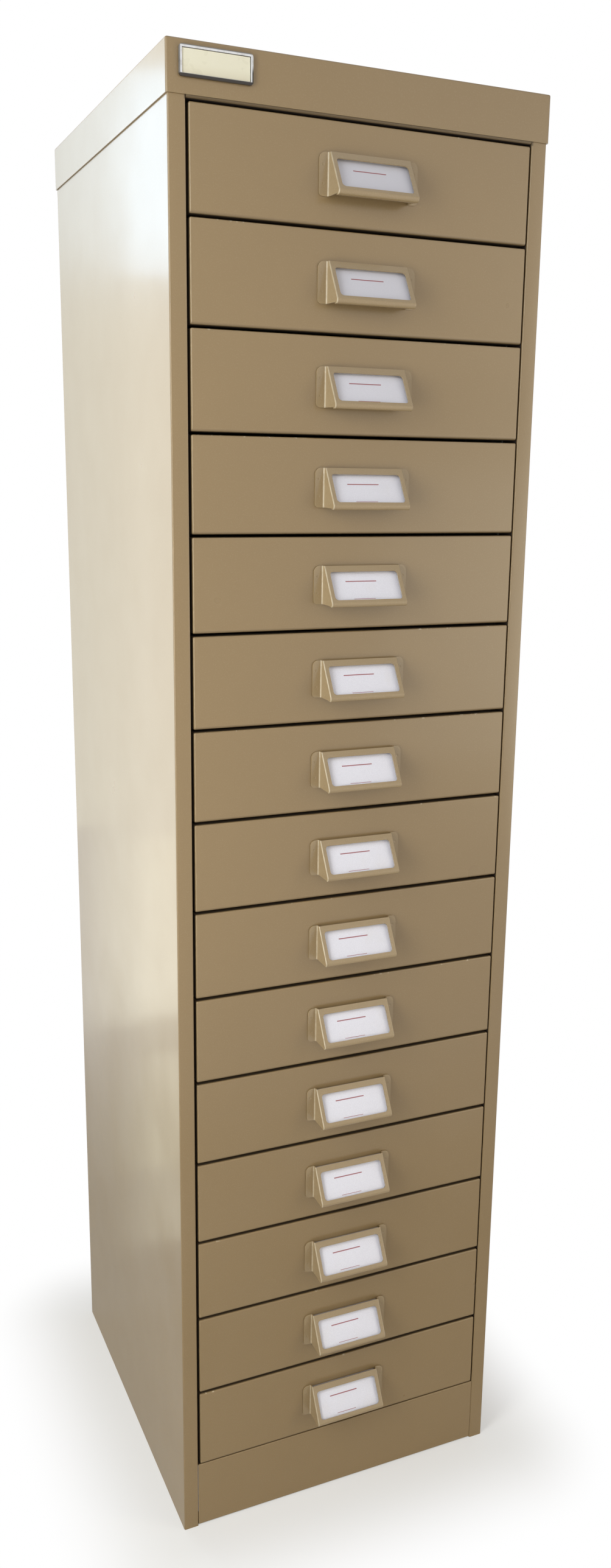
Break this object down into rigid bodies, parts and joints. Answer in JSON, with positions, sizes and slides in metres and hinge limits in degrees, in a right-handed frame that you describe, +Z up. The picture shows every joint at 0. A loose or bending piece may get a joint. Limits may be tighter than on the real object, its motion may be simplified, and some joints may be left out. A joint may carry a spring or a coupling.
{
  "type": "multi-drawer filing cabinet",
  "caption": "Tall narrow steel cabinet of shallow sliding drawers, each with a wedge-shaped pull that holds a label card, for papers and small goods.",
  "frame": {"origin": "on the floor, under the middle of the box that holds the whole cabinet with its pulls", "axes": "+Z up along the cabinet's height, -Y towards the drawer fronts, +X to the right seen from the front"},
  "size_m": [0.3386, 0.3886, 1.32],
  "materials": {
    "enamel": "semi-gloss beige stove enamel",
    "runner_steel": "dull enamelled steel with rub marks",
    "card": "plain white card",
    "chrome": "polished",
    "badge_plate": "cream enamel"
  },
  "bodies": {
    "case": {"left_side_panel": "enamel", "right_side_panel": "enamel", "back_panel": "enamel", "top_cap": "enamel", "base_pan": "enamel", "plinth": "enamel", "header_rail": "enamel", "left_runner_frame": "runner_steel", "right_runner_frame": "runner_steel", "badge_frame": "chrome", "badge_plate": "badge_plate"},
    "drawer_01": {"drawer_01": "enamel", "pull_01": "enamel", "card_01": "card"},
    "drawer_02": {"drawer_02": "enamel", "pull_02": "enamel", "card_02": "card"},
    "drawer_03": {"drawer_03": "enamel", "pull_03": "enamel", "card_03": "card"},
    "drawer_04": {"drawer_04": "enamel", "pull_04": "enamel", "card_04": "card"},
    "drawer_05": {"drawer_05": "enamel", "pull_05": "enamel", "card_05": "card"},
    "drawer_06": {"drawer_06": "enamel", "pull_06": "enamel", "card_06": "card"},
    "drawer_07": {"drawer_07": "enamel", "pull_07": "enamel", "card_07": "card"},
    "drawer_08": {"drawer_08": "enamel", "pull_08": "enamel", "card_08": "card"},
    "drawer_09": {"drawer_09": "enamel", "pull_09": "enamel", "card_09": "card"},
    "drawer_10": {"drawer_10": "enamel", "pull_10": "enamel", "card_10": "card"},
    "drawer_11": {"drawer_11": "enamel", "pull_11": "enamel", "card_11": "card"},
    "drawer_12": {"drawer_12": "enamel", "pull_12": "enamel", "card_12": "card"},
    "drawer_13": {"drawer_13": "enamel", "pull_13": "enamel", "card_13": "card"},
    "drawer_14": {"drawer_14": "enamel", "pull_14": "enamel", "card_14": "card"},
    "drawer_15": {"drawer_15": "enamel", "pull_15": "enamel", "card_15": "card"}
  },
  "joints": [
    {"name": "drawer_01_slide", "type": "slide", "parent": "case", "child": "drawer_01", "axis": [0, -1, 0], "range_m": [0, 0.3]},
    {"name": "drawer_02_slide", "type": "slide", "parent": "case", "child": "drawer_02", "axis": [0, -1, 0], "range_m": [0, 0.3]},
    {"name": "drawer_03_slide", "type": "slide", "parent": "case", "child": "drawer_03", "axis": [0, -1, 0], "range_m": [0, 0.3]},
    {"name": "drawer_04_slide", "type": "slide", "parent": "case", "child": "drawer_04", "axis": [0, -1, 0], "range_m": [0, 0.3]},
    {"name": "drawer_05_slide", "type": "slide", "parent": "case", "child": "drawer_05", "axis": [0, -1, 0], "range_m": [0, 0.3]},
    {"name": "drawer_06_slide", "type": "slide", "parent": "case", "child": "drawer_06", "axis": [0, -1, 0], "range_m": [0, 0.3]},
    {"name": "drawer_07_slide", "type": "slide", "parent": "case", "child": "drawer_07", "axis": [0, -1, 0], "range_m": [0, 0.3]},
    {"name": "drawer_08_slide", "type": "slide", "parent": "case", "child": "drawer_08", "axis": [0, -1, 0], "range_m": [0, 0.3]},
    {"name": "drawer_09_slide", "type": "slide", "parent": "case", "child": "drawer_09", "axis": [0, -1, 0], "range_m": [0, 0.3]},
    {"name": "drawer_10_slide", "type": "slide", "parent": "case", "child": "drawer_10", "axis": [0, -1, 0], "range_m": [0, 0.3]},
    {"name": "drawer_11_slide", "type": "slide", "parent": "case", "child": "drawer_11", "axis": [0, -1, 0], "range_m": [0, 0.3]},
    {"name": "drawer_12_slide", "type": "slide", "parent": "case", "child": "drawer_12", "axis": [0, -1, 0], "range_m": [0, 0.3]},
    {"name": "drawer_13_slide", "type": "slide", "parent": "case", "child": "drawer_13", "axis": [0, -1, 0], "range_m": [0, 0.3]},
    {"name": "drawer_14_slide", "type": "slide", "parent": "case", "child": "drawer_14", "axis": [0, -1, 0], "range_m": [0, 0.3]},
    {"name": "drawer_15_slide", "type": "slide", "parent": "case", "child": "drawer_15", "axis": [0, -1, 0], "range_m": [0, 0.3]}
  ]
}
